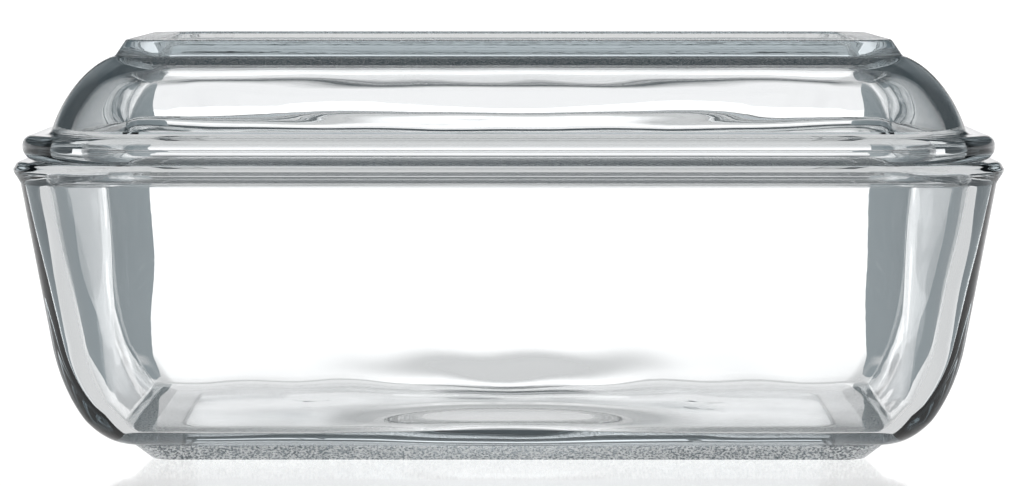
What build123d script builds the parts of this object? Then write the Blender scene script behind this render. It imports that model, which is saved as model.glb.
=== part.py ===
"""A pressed-glass butter dish: a deep rectangular dish on a foot, and a shouldered lid that lifts off.

Millimetres, +Z up. The origin is on the table, under the middle of the dish. X is along the length and Y
across it. Every level section is a rounded rectangle, given by its half length: its half width is less by
the same amount all the way up, and its corners get smaller as it moves in, faster on the dish than on the lid.
The dish's inner corners are rounder than its outer ones, so the glass is thicker there.
"""
from build123d import *
import math
import os

# ---- Overall sizes ----
LENGTH = 170.0              # over the dish's lip
WIDTH = 105.0               # over the dish's lip
DISH_HEIGHT = 52.6          # table to the top of the lip
LID_RISE = 20.6             # top of the lip to the top of the lid's ring

# ---- Corners in plan ----
CORNER_RADIUS = 16.0        # at the lip
DISH_INNER_EXTRA = 2.0      # added to the radius inside the dish
DISH_CORNER_SHRINK = 1.0    # loss of radius for each millimetre that a section is inside the lip
LID_CORNER_SHRINK = 0.4     # the same, on the lid
CORNER_LEAST = 4.0          # no section has smaller corners

# ---- Dish wall ----
WALL = 4.2                  # thickness under the lip, measured level
DRAFT = 10.5                # degrees that the wall leans
LIP_OVERHANG = 1.2          # lip beyond the wall under it
LIP_FLARE = 1.9             # height of the flared part of the lip
LIP_BAND = 1.7              # height of the upright part of the lip
LIP_ROUND = 1.2             # on the lip's outer edge
LIP_INNER_ROUND = 0.4       # on the lip's inner edge
BEND_WIDTH = 9.7            # outer bend from wall to underside, level
BEND_HEIGHT = 18.2          # the same bend, upright
INNER_BEND_WIDTH = 8.5      # inner bend from the wall, level, if the floor didn't cut it off
INNER_BEND_HEIGHT = 16.5    # the same bend, upright
INNER_BEND_DROP = 1.8       # lowest point of that bend, below the floor
CREASE_ROUND = 1.0          # where the floor meets the bend
FLOOR_THICKNESS = 5.6       # inside the foot

# ---- Foot ----
FOOT_HEIGHT = 3.0           # table to the underside outside the foot
FOOT_INSET = 0.4            # foot's root, in from the end of the outer bend
FOOT_TAPER = 2.8            # foot's lower edge, in from its root
FOOT_WIDTH = 5.0            # of the ring that stands on the table
FOOT_RECESS = 1.2           # height of the hollow inside the foot
FOOT_ROUND = 0.5

# ---- Lid ----
LID_INSET = 1.45            # flange's edge, in from the lip's edge
FLANGE_TOP_ROUND = 1.7
FLANGE_EDGE = 0.4           # upright part of the edge, between its two rounds
FLANGE_LOWER_ROUND = 2.4
FLANGE_WIDTH = 4.55         # flange's edge to the root of the side
SIDE_DRAFT = 15.0           # degrees that the lid's side leans
SHOULDER_WIDTH = 9.0        # outer bend from side to roof, level
INNER_SHOULDER_WIDTH = 8.0  # inner bend from side to roof, level
LID_WALL = 3.2              # at the root of the side, measured level
ROOF_THICKNESS = 2.4
ROOT_ROUND = 1.2            # between the flange and the side

# ---- Ridge that centres the lid in the dish ----
RIDGE_DEPTH = 2.0
RIDGE_CLEARANCE = 0.8       # to the dish wall, level
RIDGE_ROUND = 0.8

# ---- Ring on the lid ----
RING_HEIGHT = 2.4           # above the roof
RING_INSET = 16.8           # ring's root, in from the dish lip's edge
RING_TAPER = 1.6            # ring's upper edge, in from its root
RING_WIDTH = 5.4            # of the ring's top
RING_RECESS = 1.5           # depth of the panel inside the ring
RING_ROUND = 0.5

# ---- Modelling values ----
BEND_STEPS = 6              # spans between the sections of a bend
OVERRUN = 1.0               # how far a cutter or a buried root runs past the face that it meets

# ---- Worked out ----
HALF = LENGTH / 2
SIDE_DIFFERENCE = (LENGTH - WIDTH) / 2      # half length less half width
WALL_TOP = DISH_HEIGHT - LIP_BAND - LIP_FLARE
OUTER_HALF = HALF - LIP_OVERHANG            # outer face of the dish wall, at WALL_TOP
INNER_HALF = OUTER_HALF - WALL              # inner face of the dish wall, at WALL_TOP
FLOOR_TOP = FOOT_RECESS + FLOOR_THICKNESS
FLANGE_HALF = HALF - LID_INSET
FLANGE_TOP = DISH_HEIGHT + FLANGE_TOP_ROUND + FLANGE_EDGE + FLANGE_LOWER_ROUND
SIDE_HALF = FLANGE_HALF - FLANGE_WIDTH      # outer face of the lid's side, at FLANGE_TOP
LID_TOP = DISH_HEIGHT + LID_RISE
ROOF_TOP = LID_TOP - RING_HEIGHT

# Corners in plan: radius at the lip, and loss of radius for each millimetre inside it
DISH_OUTSIDE = (CORNER_RADIUS, DISH_CORNER_SHRINK)
DISH_INSIDE = (CORNER_RADIUS + DISH_INNER_EXTRA, DISH_CORNER_SHRINK)
ALL_LID = (CORNER_RADIUS, LID_CORNER_SHRINK)


def lean(height, degrees):
    """How far a face that leans by degrees moves over in height."""
    return height * math.tan(math.radians(degrees))


def inner_wall_half(z):
    """Half length of the drafted inner face of the dish at height z."""
    return INNER_HALF + lean(z - WALL_TOP, DRAFT)


def outline(half, z, corners=DISH_OUTSIDE):
    """The section of half length half, at height z."""
    lip_radius, shrink = corners
    radius = max(CORNER_LEAST, lip_radius - shrink * (HALF - half))
    return Pos(0, 0, z) * RectangleRounded(2 * half, 2 * (half - SIDE_DIFFERENCE), radius)


def upright(half, bottom, top, corners=DISH_OUTSIDE):
    """A block with one section all the way up."""
    return extrude(outline(half, bottom, corners), amount=top - bottom)


def tapered(bottom_half, bottom, top_half, top, corners=DISH_OUTSIDE):
    """A block that changes evenly from one section to another."""
    return loft([outline(bottom_half, bottom, corners), outline(top_half, top, corners)], ruled=True)


def bowl(mouth_half, mouth_z, end_z, draft, bend_width, bend_height, corners=DISH_OUTSIDE):
    """A block with a drafted side from its mouth to a bend, a quarter of an ellipse, that ends flat at end_z."""
    way = math.copysign(1, end_z - mouth_z)
    straight = abs(end_z - mouth_z) - bend_height
    bend_half = mouth_half - lean(straight, draft)
    bend_z = mouth_z + way * straight
    sections = []
    for step in range(BEND_STEPS + 1):
        angle = math.pi / 2 * step / BEND_STEPS
        travel = bend_height * math.sin(angle)
        inset = lean(travel, draft) + bend_width * (1 - math.cos(angle))
        sections.append(outline(bend_half - inset, bend_z + way * travel, corners))
    block = loft(sections)
    if straight > 0:
        block += tapered(mouth_half, mouth_z, bend_half, bend_z, corners)
    return block


def top_face(body):
    """The highest face, which is level on every body here."""
    return body.faces().sort_by(Axis.Z)[-1]


def bottom_face(body):
    """The lowest face, which is level on every body here."""
    return body.faces().sort_by(Axis.Z)[0]


def make_foot(root_half):
    """The foot, buried a little in the underside of the dish."""
    slope = FOOT_TAPER / FOOT_HEIGHT
    return tapered(root_half - FOOT_TAPER, 0, root_half + slope * OVERRUN, FOOT_HEIGHT + OVERRUN)


def make_cavity():
    """What the dish holds: a bowl from above the lip, cut off level at the floor."""
    mouth_z = DISH_HEIGHT + OVERRUN
    lowest = FLOOR_TOP - INNER_BEND_DROP
    sizes = (DRAFT, INNER_BEND_WIDTH, INNER_BEND_HEIGHT)
    cavity = bowl(inner_wall_half(mouth_z), mouth_z, lowest, *sizes, DISH_INSIDE)
    cavity -= upright(HALF, lowest - OVERRUN, FLOOR_TOP)
    return fillet(bottom_face(cavity).edges(), CREASE_ROUND)


def make_dish():
    """Wall, flared lip, bent bottom and foot, hollowed from above and under the foot."""
    body = bowl(OUTER_HALF, WALL_TOP, FOOT_HEIGHT, DRAFT, BEND_WIDTH, BEND_HEIGHT)
    flare_top = WALL_TOP + LIP_FLARE
    body += tapered(OUTER_HALF, WALL_TOP, HALF, flare_top)
    body += upright(HALF, flare_top, DISH_HEIGHT)

    bend_end_half = OUTER_HALF - lean(WALL_TOP - FOOT_HEIGHT, DRAFT) - BEND_WIDTH
    foot_root_half = bend_end_half - FOOT_INSET
    body += make_foot(foot_root_half)
    body -= upright(foot_root_half - FOOT_TAPER - FOOT_WIDTH, -OVERRUN, FOOT_RECESS)

    body -= make_cavity()

    body = fillet(top_face(body).outer_wire().edges(), LIP_ROUND)
    body = fillet(top_face(body).inner_wires()[0].edges(), LIP_INNER_ROUND)
    return fillet(bottom_face(body).edges(), FOOT_ROUND)


def make_flange():
    """The plate that rests on the lip, rounded on its edge."""
    plate = upright(FLANGE_HALF, DISH_HEIGHT, FLANGE_TOP, ALL_LID)
    plate = fillet(top_face(plate).edges(), FLANGE_TOP_ROUND)
    return fillet(bottom_face(plate).edges(), FLANGE_LOWER_ROUND)


def make_ring():
    """The raised block on the roof, buried a little in it and in the shoulder."""
    slope = RING_TAPER / RING_HEIGHT
    root_half = HALF - RING_INSET
    top_half = root_half - RING_TAPER
    return tapered(root_half + slope * OVERRUN, ROOF_TOP - OVERRUN, top_half, LID_TOP, ALL_LID)


def make_shell(half, roof_z, bend_width):
    """The block inside one face of the lid: its side from the top of the flange, its shoulder and its roof."""
    height = roof_z - FLANGE_TOP
    return bowl(half, FLANGE_TOP, roof_z, SIDE_DRAFT, bend_width, height, ALL_LID)


def make_lid():
    """Flange, centring ridge, side, shoulder and roof with a ring, hollowed from below."""
    body = make_flange() + make_shell(SIDE_HALF, ROOF_TOP, SHOULDER_WIDTH)
    flat_faces = body.faces().filter_by(GeomType.PLANE).sort_by(Axis.Z)
    flange_top = flat_faces[-2]             # the roof is the only flat face above it
    body = fillet(flange_top.inner_wires()[0].edges(), ROOT_ROUND)
    ridge_bottom = DISH_HEIGHT - RIDGE_DEPTH
    body += upright(inner_wall_half(ridge_bottom) - RIDGE_CLEARANCE, ridge_bottom, DISH_HEIGHT, DISH_INSIDE)
    body += make_ring()

    inside_half = SIDE_HALF - LID_WALL
    body -= upright(inside_half, ridge_bottom - OVERRUN, FLANGE_TOP, ALL_LID)
    body -= make_shell(inside_half, ROOF_TOP - ROOF_THICKNESS, INNER_SHOULDER_WIDTH)
    panel_half = HALF - RING_INSET - RING_TAPER - RING_WIDTH
    body -= upright(panel_half, LID_TOP - RING_RECESS, LID_TOP + OVERRUN, ALL_LID)

    body = fillet(bottom_face(body).edges(), RIDGE_ROUND)
    return fillet(top_face(body).edges(), RING_ROUND)


os.makedirs("parts", exist_ok=True)
export_step(make_dish().solid(), "parts/dish.step")
export_step(make_lid().solid(), "parts/lid.step")
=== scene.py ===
"""The looks of a pressed-glass butter dish: a clear dish and a clear lid on a lit white table.

Lengths are in millimetres until a mesh, light or camera is placed, which MM turns into the frame's metres.
Every level section of the glass is a rounded rectangle. It is named by its half length, and its half width
is less by the same amount all the way up, as in the CAD.
"""
import math

import bmesh
import bpy
import numpy as np
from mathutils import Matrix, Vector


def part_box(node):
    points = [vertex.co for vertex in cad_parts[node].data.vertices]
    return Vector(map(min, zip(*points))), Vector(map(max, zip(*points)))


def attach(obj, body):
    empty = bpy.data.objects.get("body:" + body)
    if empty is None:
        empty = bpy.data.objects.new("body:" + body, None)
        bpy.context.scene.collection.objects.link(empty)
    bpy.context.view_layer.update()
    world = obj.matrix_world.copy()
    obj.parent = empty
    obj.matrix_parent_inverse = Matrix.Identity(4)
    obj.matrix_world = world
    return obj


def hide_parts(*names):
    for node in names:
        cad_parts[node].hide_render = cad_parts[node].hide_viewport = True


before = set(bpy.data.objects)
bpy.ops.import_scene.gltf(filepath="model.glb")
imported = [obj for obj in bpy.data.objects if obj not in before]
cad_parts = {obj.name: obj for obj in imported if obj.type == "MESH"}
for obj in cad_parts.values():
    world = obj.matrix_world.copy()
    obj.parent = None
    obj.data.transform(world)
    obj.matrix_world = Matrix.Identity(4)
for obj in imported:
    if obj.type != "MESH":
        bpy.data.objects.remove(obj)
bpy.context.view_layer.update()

MM = 0.001

# ---- Sizes that the frame gives ----
DISH_LOW, DISH_HIGH = (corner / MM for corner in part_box("dish"))
LID_LOW, LID_HIGH = (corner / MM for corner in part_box("lid"))
HALF = (DISH_HIGH.x - DISH_LOW.x) / 2
SIDE_DIFFERENCE = HALF - (DISH_HIGH.y - DISH_LOW.y) / 2
DISH_HEIGHT = DISH_HIGH.z
FLANGE_HALF = (LID_HIGH.x - LID_LOW.x) / 2
RIDGE_BOTTOM = LID_LOW.z
LID_TOP = LID_HIGH.z

# ---- Corners in plan ----
CORNER_RADIUS = 16.0        # at the lip
DISH_CORNER_SHRINK = 1.0    # loss of radius for each millimetre that a section is inside the lip
DISH_INNER_EXTRA = 2.0      # added to the radius inside the dish
LID_CORNER_SHRINK = 0.4     # the loss of radius on the lid
CORNER_LEAST = 4.0          # no section has smaller corners

# ---- Dish ----
WALL = 4.2                  # thickness under the lip, measured level
DRAFT = 10.5                # degrees that the wall leans
LIP_OVERHANG = 1.2          # lip beyond the wall under it
LIP_FLARE = 1.9             # height of the flared part of the lip
LIP_BAND = 1.7              # height of the upright part of the lip
LIP_ROUND = 1.2             # on the lip's outer edge
LIP_INNER_ROUND = 0.5       # on the lip's inner edge
LIP_LOWER_ROUND = 0.7       # between the upright part and the flare
LIP_ROOT_ROUND = 1.0        # between the flare and the wall
BEND_WIDTH = 9.7            # outer bend from wall to underside, level
BEND_HEIGHT = 18.2          # the same bend, upright
INNER_BEND_WIDTH = 8.5
INNER_BEND_HEIGHT = 16.5
INNER_BEND_LEVEL = 5.0      # where the inner bend would end, if the floor didn't cut it off
CREASE_ROUND = 1.0          # where the floor meets the bend
CREASE_REACH = 1.2          # how far from the crease the bend's points stop, in radii of its round
FLOOR_TOP = 6.8             # table to the floor inside the dish
FOOT_HEIGHT = 3.0           # table to the underside outside the foot
FOOT_INSET = 0.4            # foot's root, in from the end of the outer bend
FOOT_TAPER = 2.8            # foot's lower edge, in from its root
FOOT_WIDTH = 5.0            # of the ring that stands on the table
FOOT_RECESS = 1.2           # height of the hollow inside the foot
FOOT_ROUND = 0.5

# ---- Lid ----
FLANGE_TOP_ROUND = 1.7
FLANGE_EDGE = 0.4           # upright part of the edge, between its two rounds
FLANGE_LOWER_ROUND = 2.4
FLANGE_WIDTH = 4.55         # flange's edge to the root of the side
SIDE_DRAFT = 15.0           # degrees that the lid's side leans
SHOULDER_WIDTH = 9.0        # outer bend from side to roof, level
INNER_SHOULDER_WIDTH = 8.0  # inner bend from side to roof, level
LID_WALL = 3.2              # at the root of the side, measured level
ROOF_THICKNESS = 2.4
ROOT_ROUND = 1.2            # between the flange and the side
RIDGE_CLEARANCE = 0.8       # centring ridge to the dish wall, level
RIDGE_ROUND = 0.8
RIDGE_ROOT_ROUND = 0.4      # between the ridge and the flange
RING_HEIGHT = 2.4           # above the roof
RING_INSET = 16.8           # ring's root, in from the dish lip's edge
RING_TAPER = 1.6            # ring's upper edge, in from its root
RING_WIDTH = 5.4            # of the ring's top
RING_RECESS = 1.5           # depth of the panel inside the ring
RING_ROUND = 0.5
RING_ROOT_ROUND = 0.8       # between the ring and the shoulder

# ---- Mesh ----
REST_GAP = 0.03             # dish and lid each stop this far short of the face they meet on
ROUND_STEPS = 5             # spans on a rounded edge
BEND_STEPS = 44             # spans on a bend
LONG_STEPS = 56             # spans on a straight long side
SHORT_STEPS = 30            # spans on a straight short side
CORNER_STEPS = 20           # spans on a corner in plan
LONGEST_SPAN = 2.4          # on a flat face
EDGE_SPAN = 0.25            # first and last span of a flat face, which keeps its shading flat
ONE_SPAN = 1.0              # a flat face no longer than this isn't divided
MERGE_DISTANCE = 0.002      # points closer than this become one
LEAST_LENGTH = 1e-9         # keeps a normal from being divided by nothing

# ---- Waves in the inner faces: height, lengths, directions in radians ----
DISH_WAVE = 0.10
DISH_WAVE_LENGTHS = (17, 23, 31, 44)
DISH_WAVE_TURNS = (0.3, 1.4, 2.2, 0.9)
LID_WAVE = 0.05
LID_WAVE_LENGTHS = (15, 22, 33, 47)
LID_WAVE_TURNS = (0.7, 1.2, 2.5, 0.2)
WAVE_SHIFT = 1.7            # radians between one wave and the next

# ---- Where the waves set in: from nothing at the first distance to all at the second ----
BELOW_LIP = (2, 9)
ABOVE_LIP = (3, 7)
BELOW_ROOF = (0.3, 4)

# ---- Swelling at the bottom of each long side's middle, with a hollow above it ----
SWELL_SIDE = (12, 24)       # distances from the middle of the dish between which they set in
SWELL_SPREAD = 14.0         # reach along the side
SWELL_RISE = 1.2            # height
SWELL_LEVEL = 8.0           # table to its middle
SWELL_DEPTH = 2.2           # reach up and down
HOLLOW_FALL = 0.25          # depth
HOLLOW_LEVEL = 13.0
HOLLOW_DEPTH = 3.5          # reach up and down

# ---- Long oval ripples in the lid's long sides ----
OVAL_SIDE = (26, 36)        # distances from the middle of the lid between which they set in
OVAL_WAVE = 0.018           # height
OVAL_LENGTH = 85.0          # half length of the oval whose size is 1
OVAL_HEIGHT = 5.5           # half height of the same
OVAL_LEVEL = 62.5           # table to their middle
OVAL_COUNT = 1.6            # ripples for each 1 of size
OVAL_LARGEST = 1.5          # size of the largest oval
OVAL_FADE = 0.5             # how far inside the largest they reach their full height

# ---- Glass ----
GLASS_COLOUR = (0.99, 0.993, 0.993, 1)
GLASS_TINT = (0.63, 0.74, 0.79, 1)
TINT_DENSITY = 10           # for each metre of glass
GLASS_IOR = 1.52
TEXTURE_DETAIL = 3
TEXTURE_PEAKS = (0.42, 0.58)            # levels of the texture where the milk starts and is full
CLEAR_GRAIN = 6             # size of the clear faces' texture
CLEAR_DEPTH = 0.004         # how deep that is
SMUDGE_SCALE = 30           # for each metre
SMUDGE_DETAIL = 4
SMUDGE_LEVELS = (0.45, 0.75)            # levels of the noise where a smudge starts and is full
SMUDGE_ROUGHNESS = 0.03     # what a smudge adds
STIPPLE_GRAIN = 0.42        # size of the stippled faces' texture
STIPPLE_DEPTH = 0.06        # how deep that is
STIPPLE_FROST = 0.15        # least roughness
STIPPLE_MILK = 0.6          # whiteness of the peaks
STIPPLE_BAND = 0.4          # height of the stippled part of the ring, from its top
STIPPLE_MARGIN = 0.1        # clear strip at the root of the foot

# ---- Studio ----
FLAG_REACH = 800.0          # how far out the cards of painted shade stand
FLAG_GAP_X = 185.0          # half of the gap between them behind and in front of the dish
FLAG_GAP_Y = 130.0          # the same, at its ends
FLAG_HEIGHT = 500.0
CARD_NEAR_X = 75.0          # corner of each lying card that is nearest to the dish
CARD_NEAR_Y = 62.0
CARD_LIFT = 0.2             # height of the lying cards above the table
# The cards glow with these colours and are seen only through the glass: the dark paints shade into it, and
# the lighter side paints light spilling in from the gap.
CARD_PAINTED_LIGHT = (0.26, 0.30, 0.32, 1)      # painted light, at the side next to the gap
CARD_PAINTED_SHADE = (0.035, 0.047, 0.054, 1)
CARD_PAINTED_SHADE_FROM = 0.5        # share of the card's width where the painted shade is full
CARD_SLANTS = (0.66, 0.80)  # slants between which a lying card's painted shade comes in
TABLE_REACH = 20000.0
TABLE_COLOUR = (0.12, 0.12, 0.12, 1)
TABLE_ROUGHNESS = 0.08
TABLE_SLANTS = (0.62, 0.80)
TABLE_GLOW = (0.70, 0.66)   # light that the table gives at those slants
EVEN_SLANT = 0.5            # blend that makes a slant 0 face on and 1 edge on
WORLD_LEVELS = (0.12, 0.22)             # heights in the sky where the white ends and the dark begins
WORLD_WHITE = (1.05, 1.05, 1.06, 1)
WORLD_DARK = (0.045, 0.06, 0.068, 1)

# ---- Camera and rendering ----
CAMERA_PLACE = (2.05, -730, 91.1)
CAMERA_DOWN = 0.0758        # radians below level
CAMERA_TURN = 0.0021        # radians to the left
LENS = 142.2
SENSOR = 36
CLIP_NEAR = 10
CLIP_FAR = 100000
GLASS_BOUNCES = 32          # enough for light to cross both pieces
GLOSSY_BOUNCES = 12
DIFFUSE_BOUNCES = 3


# ---- Sections ----

def lean(height, degrees):
    """How far a face that leans by degrees moves over in height."""
    return height * math.tan(math.radians(degrees))


def bend(half, start_z, end_z, draft, width, height):
    """Points of a bend from a drafted side to a level face at end_z: a quarter of an ellipse."""
    way = math.copysign(1, end_z - start_z)
    straight = abs(end_z - start_z) - height
    points = []
    for step in range(BEND_STEPS + 1):
        angle = math.pi / 2 * step / BEND_STEPS
        travel = height * math.sin(angle)
        inset = lean(straight + travel, draft) + width * (1 - math.cos(angle))
        points.append((half - inset, start_z + way * (straight + travel), 0.0))
    return points


def cut_at(points, floor, radius):
    """The part of a bend above a level floor, ending in the corner where it meets the floor."""
    kept = [point for point in points if point[1] > floor]
    if len(kept) == len(points):
        return points
    over, under = kept[-1], points[len(kept)]
    share = (over[1] - floor) / (over[1] - under[1])
    half = over[0] + (under[0] - over[0]) * share
    reach = CREASE_REACH * radius
    kept = [point for point in kept if math.hypot(point[0] - half, point[1] - floor) > reach]
    return kept + [(half, floor, radius)]


def round_corner(before, corner, after, radius):
    """The arc that replaces a corner of a section, as points."""
    to_before, to_after = before - corner, after - corner
    to_before /= np.linalg.norm(to_before)
    to_after /= np.linalg.norm(to_after)
    half_angle = math.acos(max(-1.0, min(1.0, float(to_before @ to_after)))) / 2
    middle = to_before + to_after
    centre = corner + middle / np.linalg.norm(middle) * radius / math.sin(half_angle)
    reach = radius / math.tan(half_angle)
    start = corner + to_before * reach - centre
    end = corner + to_after * reach - centre
    turn = math.pi - 2 * half_angle
    points = []
    for step in range(ROUND_STEPS + 1):
        share = step / ROUND_STEPS
        spoke = start * math.sin((1 - share) * turn) + end * math.sin(share * turn)
        points.append(centre + spoke / math.sin(turn))
    return points


def section(corners):
    """The points of a section, from its corners (half length, z, radius of the rounded edge)."""
    flat = [np.array(corner[:2], float) for corner in corners]
    rounded = [flat[0]]
    for index in range(1, len(corners) - 1):
        radius = corners[index][2]
        if radius:
            rounded += round_corner(flat[index - 1], flat[index], flat[index + 1], radius)
        else:
            rounded.append(flat[index])
    rounded.append(flat[-1])
    points = [rounded[0]]
    for start, end in zip(rounded, rounded[1:]):
        length = np.linalg.norm(end - start)
        shares = [1.0]
        if length > ONE_SPAN:
            first = EDGE_SPAN / length
            count = max(1, math.ceil((length - 2 * EDGE_SPAN) / LONGEST_SPAN))
            shares = [first + (1 - 2 * first) * step / count for step in range(count + 1)] + [1.0]
        points += [start + (end - start) * share for share in shares]
    return np.array(points)


def corner_point(quarter, share, half, half_width, radius):
    """The point at a share of one corner's arc. The corners are numbered anticlockwise from +X, +Y."""
    side_x = 1 if quarter in (0, 3) else -1
    side_y = 1 if quarter in (0, 1) else -1
    angle = math.pi / 2 * (quarter + share)
    return (side_x * (half - radius) + radius * math.cos(angle),
            side_y * (half_width - radius) + radius * math.sin(angle))


def plan_loop(half, z, shrink, extra):
    """The points of one level section, anticlockwise from the start of the +X, +Y corner."""
    half_width = max(0.0, half - SIDE_DIFFERENCE)
    radius = min(half_width, max(CORNER_LEAST, CORNER_RADIUS + extra - shrink * (HALF - half)))
    sizes = (half, half_width, radius)
    points = []
    for quarter in range(4):
        for step in range(CORNER_STEPS + 1):
            points.append(corner_point(quarter, step / CORNER_STEPS, *sizes))
        start = points[-1]
        end = corner_point((quarter + 1) % 4, 0, *sizes)
        count = LONG_STEPS if quarter % 2 == 0 else SHORT_STEPS
        for step in range(1, count):
            share = step / count
            points.append((start[0] + (end[0] - start[0]) * share, start[1] + (end[1] - start[1]) * share))
    return [(x, y, z) for x, y in points]


def sweep(points, shrink, inner_extra=0.0):
    """A grid of points, one row for each point of the section, in millimetres."""
    widest = int(np.argmax(points[:, 0]))
    return np.array([plan_loop(half, z, shrink, inner_extra if row < widest else 0.0)
                     for row, (half, z) in enumerate(points)])


def grid_normals(grid):
    """A normal for each point of the grid, towards the outside of the glass."""
    along = np.roll(grid, -1, axis=1) - np.roll(grid, 1, axis=1)
    across = np.gradient(grid, axis=0)
    normals = np.cross(across, along)
    lengths = np.linalg.norm(normals, axis=2, keepdims=True)
    return normals / np.maximum(lengths, LEAST_LENGTH)


# ---- Shapes ----

def dish_section():
    """From the middle of the inner floor, over the lip, to the middle of the underside."""
    wall_top = DISH_HEIGHT - LIP_BAND - LIP_FLARE
    outer_half = HALF - LIP_OVERHANG
    inner_half = outer_half - WALL
    top = DISH_HEIGHT - REST_GAP
    mouth_half = inner_half + lean(top - wall_top, DRAFT)
    inside = bend(mouth_half, top, INNER_BEND_LEVEL, DRAFT, INNER_BEND_WIDTH, INNER_BEND_HEIGHT)
    inside = cut_at(inside, FLOOR_TOP, CREASE_ROUND)
    outside = bend(outer_half, wall_top, FOOT_HEIGHT, DRAFT, BEND_WIDTH, BEND_HEIGHT)
    foot_root = outside[-1][0] - FOOT_INSET
    foot_edge = foot_root - FOOT_TAPER
    hollow = foot_edge - FOOT_WIDTH
    lip = [
        (mouth_half, top, LIP_INNER_ROUND),
        (HALF, top, LIP_ROUND),
        (HALF, wall_top + LIP_FLARE, LIP_LOWER_ROUND),
        (outer_half, wall_top, LIP_ROOT_ROUND),
    ]
    foot = [
        (foot_edge, 0.0, FOOT_ROUND),
        (hollow, 0.0, FOOT_ROUND),
        (hollow, FOOT_RECESS, FOOT_ROUND),
        (SIDE_DIFFERENCE, FOOT_RECESS, 0.0),
    ]
    return section([(SIDE_DIFFERENCE, FLOOR_TOP, 0.0)] + inside[::-1] + lip + outside + foot)


def lid_section():
    """From the middle of the panel, over the ring, shoulder and flange, to the middle of the inner roof."""
    flange_bottom = DISH_HEIGHT + REST_GAP
    flange_top = DISH_HEIGHT + FLANGE_TOP_ROUND + FLANGE_EDGE + FLANGE_LOWER_ROUND
    roof_top = LID_TOP - RING_HEIGHT
    side_half = FLANGE_HALF - FLANGE_WIDTH
    outside = bend(side_half, flange_top, roof_top, SIDE_DRAFT, SHOULDER_WIDTH, roof_top - flange_top)
    inner_half = side_half - LID_WALL
    inner_roof = roof_top - ROOF_THICKNESS
    inner_height = inner_roof - flange_top
    inside = bend(inner_half, flange_top, inner_roof, SIDE_DRAFT, INNER_SHOULDER_WIDTH, inner_height)
    ring_root = HALF - RING_INSET
    ring_edge = ring_root - RING_TAPER
    panel_half = ring_edge - RING_WIDTH
    slope = RING_TAPER / RING_HEIGHT
    shoulder = [point for point in outside if point[0] > ring_root + slope * (roof_top - point[1])]
    meeting_z = shoulder[-1][1]
    meeting = (ring_root + slope * (roof_top - meeting_z), meeting_z, RING_ROOT_ROUND)
    shoulder = shoulder[:-1]
    inner_wall_half = HALF - LIP_OVERHANG - WALL
    wall_top = DISH_HEIGHT - LIP_BAND - LIP_FLARE
    ridge_half = inner_wall_half + lean(RIDGE_BOTTOM - wall_top, DRAFT) - RIDGE_CLEARANCE
    ring = [
        (SIDE_DIFFERENCE, LID_TOP - RING_RECESS, 0.0),
        (panel_half, LID_TOP - RING_RECESS, RING_ROUND),
        (panel_half, LID_TOP, RING_ROUND),
        (ring_edge, LID_TOP, RING_ROUND),
        meeting,
    ]
    flange = [
        (side_half, flange_top, ROOT_ROUND),
        (FLANGE_HALF, flange_top, FLANGE_TOP_ROUND),
        (FLANGE_HALF, flange_bottom, FLANGE_LOWER_ROUND),
        (ridge_half, flange_bottom, RIDGE_ROOT_ROUND),
        (ridge_half, RIDGE_BOTTOM, RIDGE_ROUND),
        (inner_half, RIDGE_BOTTOM, RIDGE_ROUND),
    ]
    return section(ring + shoulder[:0:-1] + flange + inside + [(SIDE_DIFFERENCE, inner_roof, 0.0)])


def smooth_step(value, low, high):
    """0 below low, 1 above high, and a smooth rise between them."""
    share = np.clip((value - low) / (high - low), 0, 1)
    return share * share * (3 - 2 * share)


def ripple(x, y, z, lengths, turns):
    """Slow waves, from -1 to 1: a sine for each wavelength, at its own turn."""
    total = 0
    for number, (length, turn) in enumerate(zip(lengths, turns)):
        way = x * math.cos(turn) + y * math.sin(turn) + z * math.cos(2 * turn + number)
        total = total + np.sin(2 * math.pi * way / length + WAVE_SHIFT * number)
    return total / len(lengths)


# ---- Meshes ----

def mesh_from(name, grid, materials, stippled):
    """A closed mesh from a grid whose first and last rows each lie on a line.

    stippled says of each row of faces whether it takes the second material.
    """
    rows, columns = grid.shape[:2]
    mesh = bpy.data.meshes.new(name)
    faces = []
    marks = []
    for row in range(rows - 1):
        for column in range(columns):
            following = (column + 1) % columns
            faces.append((row * columns + column, row * columns + following,
                          (row + 1) * columns + following, (row + 1) * columns + column))
            marks.append(bool(stippled[row]))
    mesh.from_pydata((grid.reshape(-1, 3) * MM).tolist(), [], faces)
    for material in materials:
        mesh.materials.append(material)
    for face, mark in zip(mesh.polygons, marks):
        face.material_index = 1 if mark else 0
    work = bmesh.new()
    work.from_mesh(mesh)
    bmesh.ops.remove_doubles(work, verts=work.verts, dist=MERGE_DISTANCE * MM)
    bmesh.ops.recalc_face_normals(work, faces=work.faces)
    for face in work.faces:
        face.smooth = True
    work.to_mesh(mesh)
    work.free()
    piece = bpy.data.objects.new(name, mesh)
    bpy.context.scene.collection.objects.link(piece)
    return piece


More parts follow.
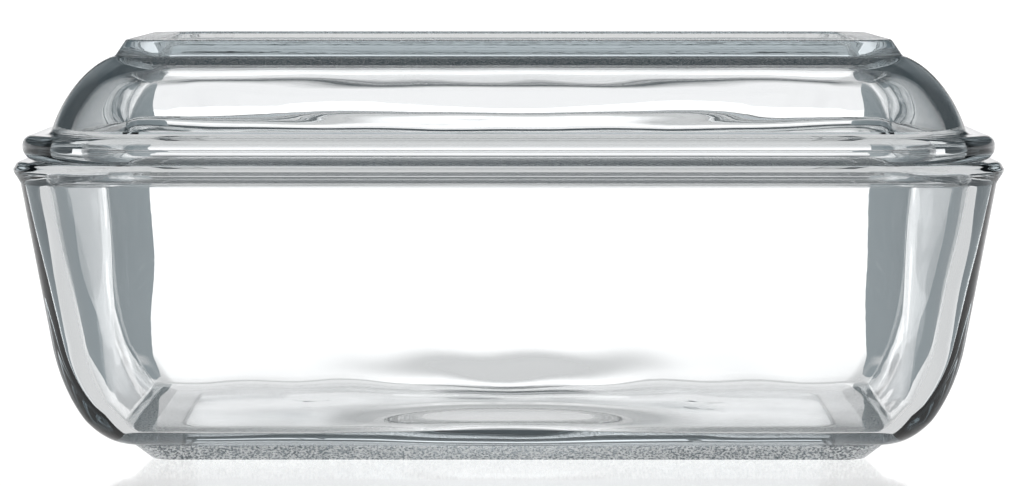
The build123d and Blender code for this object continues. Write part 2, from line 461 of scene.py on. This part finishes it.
def make_dish(materials):
    """The dish, with slow waves in its inner faces and a swelling at the bottom of each long side."""
    points = dish_section()
    grid = sweep(points, DISH_CORNER_SHRINK, DISH_INNER_EXTRA)
    lip = int(np.argmax(points[:, 0]))
    x, y, z = (grid[:, :, axis] for axis in range(3))
    inside = (np.arange(len(points)) < lip)[:, None] * smooth_step(DISH_HEIGHT - z, *BELOW_LIP)
    waves = DISH_WAVE * ripple(x, y, z, DISH_WAVE_LENGTHS, DISH_WAVE_TURNS)
    long_side = np.exp(-0.5 * (x / SWELL_SPREAD) ** 2) * smooth_step(np.abs(y), *SWELL_SIDE)
    swell = SWELL_RISE * np.exp(-((z - SWELL_LEVEL) / SWELL_DEPTH) ** 2)
    swell = swell - HOLLOW_FALL * np.exp(-((z - HOLLOW_LEVEL) / HOLLOW_DEPTH) ** 2)
    grid = grid + grid_normals(grid) * (inside * (waves + long_side * swell))[:, :, None]
    lowest = points[np.argmin(points[:, 1]), 0]
    foot = (points[:, 1] < FOOT_HEIGHT - STIPPLE_MARGIN) & (points[:, 0] > lowest - FOOT_WIDTH)
    return mesh_from("glass_dish", grid, materials, foot[:-1] & foot[1:])


def make_lid(materials):
    """The lid, with slow waves and long oval ripples in its inner face."""
    points = lid_section()
    grid = sweep(points, LID_CORNER_SHRINK)
    lowest = int(np.argmin(points[:, 1]))
    x, y, z = (grid[:, :, axis] for axis in range(3))
    inside = (np.arange(len(points)) > lowest)[:, None] * smooth_step(z - DISH_HEIGHT, *ABOVE_LIP)
    inner_roof = LID_TOP - RING_HEIGHT - ROOF_THICKNESS
    inside = inside * smooth_step(inner_roof - z, *BELOW_ROOF)
    waves = LID_WAVE * ripple(x, y, z, LID_WAVE_LENGTHS, LID_WAVE_TURNS)
    size = np.sqrt((x / OVAL_LENGTH) ** 2 + ((z - OVAL_LEVEL) / OVAL_HEIGHT) ** 2)
    height = OVAL_WAVE * smooth_step(OVAL_LARGEST - size, 0, OVAL_FADE) * smooth_step(np.abs(y), *OVAL_SIDE)
    ovals = height * np.cos(2 * math.pi * OVAL_COUNT * size)
    grid = grid + grid_normals(grid) * (inside * (waves + ovals))[:, :, None]
    ring = points[:, 1] > LID_TOP - STIPPLE_BAND
    return mesh_from("glass_lid", grid, materials, ring[:-1] & ring[1:])


# ---- Materials ----

def new_material(name):
    """An empty node material and its output node."""
    material = bpy.data.materials.new(name)
    material.use_nodes = True
    nodes = material.node_tree.nodes
    nodes.clear()
    return material, nodes, material.node_tree.links, nodes.new("ShaderNodeOutputMaterial")


def map_range(nodes, links, source, levels, values, interpolation="LINEAR"):
    """The output of a node that goes from one value to another as source goes between two levels."""
    level = nodes.new("ShaderNodeMapRange")
    level.interpolation_type = interpolation
    level.inputs["From Min"].default_value, level.inputs["From Max"].default_value = levels
    level.inputs["To Min"].default_value, level.inputs["To Max"].default_value = values
    links.new(source, level.inputs["Value"])
    return level.outputs["Result"]


def noise(nodes, links, place, scale, detail):
    """The output of a noise texture, whose scale is for each metre."""
    texture = nodes.new("ShaderNodeTexNoise")
    texture.inputs["Scale"].default_value = scale
    texture.inputs["Detail"].default_value = detail
    links.new(place.outputs["Object"], texture.inputs["Vector"])
    return texture.outputs["Fac"]


def colour_ramp(nodes, levels, colours):
    """A ramp from one colour to another between two levels."""
    ramp = nodes.new("ShaderNodeValToRGB")
    for element, level, colour in zip(ramp.color_ramp.elements, levels, colours):
        element.position = level
        element.color = colour
    return ramp


def view_slant(nodes):
    """How far from face on the surface is seen, from 0 to 1."""
    slant = nodes.new("ShaderNodeLayerWeight")
    slant.inputs["Blend"].default_value = EVEN_SLANT
    return slant.outputs["Facing"]


def glass(name, grain, depth, frost, milk):
    """Pressed glass: grain is the size of its surface texture and depth how deep that is, in millimetres.

    frost is the least roughness of its surface, and milk how white the texture's peaks are.
    """
    material, nodes, links, output = new_material(name)
    place = nodes.new("ShaderNodeTexCoord")
    shader = nodes.new("ShaderNodeBsdfPrincipled")
    shader.inputs["Base Color"].default_value = GLASS_COLOUR
    shader.inputs["IOR"].default_value = GLASS_IOR
    texture = noise(nodes, links, place, 1 / (grain * MM), TEXTURE_DETAIL)
    clearness = map_range(nodes, links, texture, TEXTURE_PEAKS, (1.0, 1.0 - milk))
    links.new(clearness, shader.inputs["Transmission Weight"])
    relief = nodes.new("ShaderNodeBump")
    relief.inputs["Strength"].default_value = 1.0
    relief.inputs["Distance"].default_value = depth * MM
    links.new(texture, relief.inputs["Height"])
    links.new(relief.outputs["Normal"], shader.inputs["Normal"])
    smudge = noise(nodes, links, place, SMUDGE_SCALE, SMUDGE_DETAIL)
    roughness = map_range(nodes, links, smudge, SMUDGE_LEVELS, (frost, frost + SMUDGE_ROUGHNESS))
    links.new(roughness, shader.inputs["Roughness"])
    links.new(shader.outputs["BSDF"], output.inputs["Surface"])
    tint = nodes.new("ShaderNodeVolumeAbsorption")
    tint.inputs["Color"].default_value = GLASS_TINT
    tint.inputs["Density"].default_value = TINT_DENSITY
    links.new(tint.outputs["Volume"], output.inputs["Volume"])
    return material


def table_material():
    """White acrylic lit from below, a little brighter when seen from above, with a soft gloss."""
    material, nodes, links, output = new_material("lit_table")
    shader = nodes.new("ShaderNodeBsdfPrincipled")
    shader.inputs["Base Color"].default_value = TABLE_COLOUR
    shader.inputs["Roughness"].default_value = TABLE_ROUGHNESS
    shader.inputs["Emission Color"].default_value = (1, 1, 1, 1)
    glow = map_range(nodes, links, view_slant(nodes), TABLE_SLANTS, TABLE_GLOW, "SMOOTHSTEP")
    links.new(glow, shader.inputs["Emission Strength"])
    links.new(shader.outputs["BSDF"], output.inputs["Surface"])
    return material


def painted_shade_card_material(lying):
    """Card that glows with painted shade, seen through the glass, with painted light at the side next to
    the gap. A lying one shows its painted shade only to a view that skims it.
    """
    material, nodes, links, output = new_material("low_painted_shade_card" if lying else "painted_shade_card")
    place = nodes.new("ShaderNodeTexCoord")
    split = nodes.new("ShaderNodeSeparateXYZ")
    shade = colour_ramp(nodes, (0.0, CARD_PAINTED_SHADE_FROM), (CARD_PAINTED_LIGHT, CARD_PAINTED_SHADE))
    # The card is not lit: it glows with the painted light and painted shade of the ramp.
    painted_shade_glow = nodes.new("ShaderNodeEmission")
    links.new(place.outputs["UV"], split.inputs["Vector"])
    links.new(split.outputs["X"], shade.inputs["Fac"])
    links.new(shade.outputs["Color"], painted_shade_glow.inputs["Color"])
    surface = painted_shade_glow.outputs["Emission"]
    if lying:
        # A lying card's painted shade comes in only where the view skims it.
        presence = map_range(nodes, links, view_slant(nodes), CARD_SLANTS, (0.0, 1.0))
        clear = nodes.new("ShaderNodeBsdfTransparent")
        mix = nodes.new("ShaderNodeMixShader")
        links.new(presence, mix.inputs["Fac"])
        links.new(clear.outputs["BSDF"], mix.inputs[1])
        links.new(surface, mix.inputs[2])
        surface = mix.outputs["Shader"]
    links.new(surface, output.inputs["Surface"])
    return material


# ---- Studio ----

def make_world():
    """White up to a little above the horizon, and dark overhead."""
    world = bpy.data.worlds.new("studio")
    bpy.context.scene.world = world
    world.use_nodes = True
    nodes, links = world.node_tree.nodes, world.node_tree.links
    nodes.clear()
    place = nodes.new("ShaderNodeTexCoord")
    split = nodes.new("ShaderNodeSeparateXYZ")
    ramp = colour_ramp(nodes, WORLD_LEVELS, (WORLD_WHITE, WORLD_DARK))
    background = nodes.new("ShaderNodeBackground")
    output = nodes.new("ShaderNodeOutputWorld")
    links.new(place.outputs["Generated"], split.inputs["Vector"])
    links.new(split.outputs["Z"], ramp.inputs["Fac"])
    links.new(ramp.outputs["Color"], background.inputs["Color"])
    links.new(background.outputs["Background"], output.inputs["Surface"])


def make_card(name, corners, material):
    """A flat four-sided card on the stage. Its U runs from the first corner to the second."""
    mesh = bpy.data.meshes.new(name)
    mesh.from_pydata([tuple(value * MM for value in corner) for corner in corners], [], [(0, 1, 2, 3)])
    layer = mesh.uv_layers.new(name="UVMap")
    for loop, place in zip(layer.data, ((0, 0), (1, 0), (1, 1), (0, 1))):
        loop.uv = place
    mesh.materials.append(material)
    card = bpy.data.objects.new(name, mesh)
    bpy.context.scene.collection.objects.link(card)
    return card


def make_table():
    """The table, wide enough to fill the view up to the horizon."""
    ways = ((-1, -1), (1, -1), (1, 1), (-1, 1))
    corners = [(x * TABLE_REACH, y * TABLE_REACH, -REST_GAP) for x, y in ways]
    make_card("table", corners, table_material())


def make_painted_shade_flags():
    """Cards of painted shade off the four corners, standing and lying, which are seen only through the
    glass.
    """
    standing, lying = painted_shade_card_material(False), painted_shade_card_material(True)
    for number, (side_x, side_y) in enumerate(((1, 1), (-1, 1), (-1, -1), (1, -1))):
        near = (side_x * CARD_NEAR_X, side_y * CARD_NEAR_Y)
        start = (side_x * FLAG_GAP_X, side_y * FLAG_REACH)
        middle = (side_x * FLAG_REACH, side_y * FLAG_REACH)
        end = (side_x * FLAG_REACH, side_y * FLAG_GAP_Y)
        upright = [(*start, 0), (*end, 0), (*end, FLAG_HEIGHT), (*start, FLAG_HEIGHT)]
        flat = [(*start, CARD_LIFT), (*middle, CARD_LIFT), (*end, CARD_LIFT), (*near, CARD_LIFT)]
        cards = [make_card(f"flag_{number}", upright, standing)]
        cards.append(make_card(f"low_flag_{number}", flat, lying))
        for card in cards:
            card.visible_camera = False
            card.visible_shadow = False
            card.visible_diffuse = False
            card.visible_glossy = False


def make_camera():
    """A long lens in front of the dish, a little above the lid and tilted down."""
    lens = bpy.data.cameras.new("camera")
    lens.sensor_width = SENSOR
    lens.lens = LENS
    lens.clip_start = CLIP_NEAR * MM
    lens.clip_end = CLIP_FAR * MM
    camera = bpy.data.objects.new("camera", lens)
    camera.location = [value * MM for value in CAMERA_PLACE]
    camera.rotation_euler = (math.pi / 2 - CAMERA_DOWN, 0, CAMERA_TURN)
    bpy.context.scene.collection.objects.link(camera)
    bpy.context.scene.camera = camera


def set_rendering():
    """Bounces for light inside the glass, and colours as they are."""
    scene = bpy.context.scene
    scene.view_settings.view_transform = "Standard"
    scene.cycles.max_bounces = GLASS_BOUNCES
    scene.cycles.transmission_bounces = GLASS_BOUNCES
    scene.cycles.glossy_bounces = GLOSSY_BOUNCES
    scene.cycles.diffuse_bounces = DIFFUSE_BOUNCES


clear = glass("clear_glass", grain=CLEAR_GRAIN, depth=CLEAR_DEPTH, frost=0.0, milk=0.0)
stippled = glass("stippled_glass", grain=STIPPLE_GRAIN, depth=STIPPLE_DEPTH,
                 frost=STIPPLE_FROST, milk=STIPPLE_MILK)
dish = make_dish([clear, stippled])
lid = make_lid([clear, stippled])
for piece, node in ((dish, "dish"), (lid, "lid")):
    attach(piece, node)
    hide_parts(node)
make_world()
make_table()
make_painted_shade_flags()
make_camera()
set_rendering()
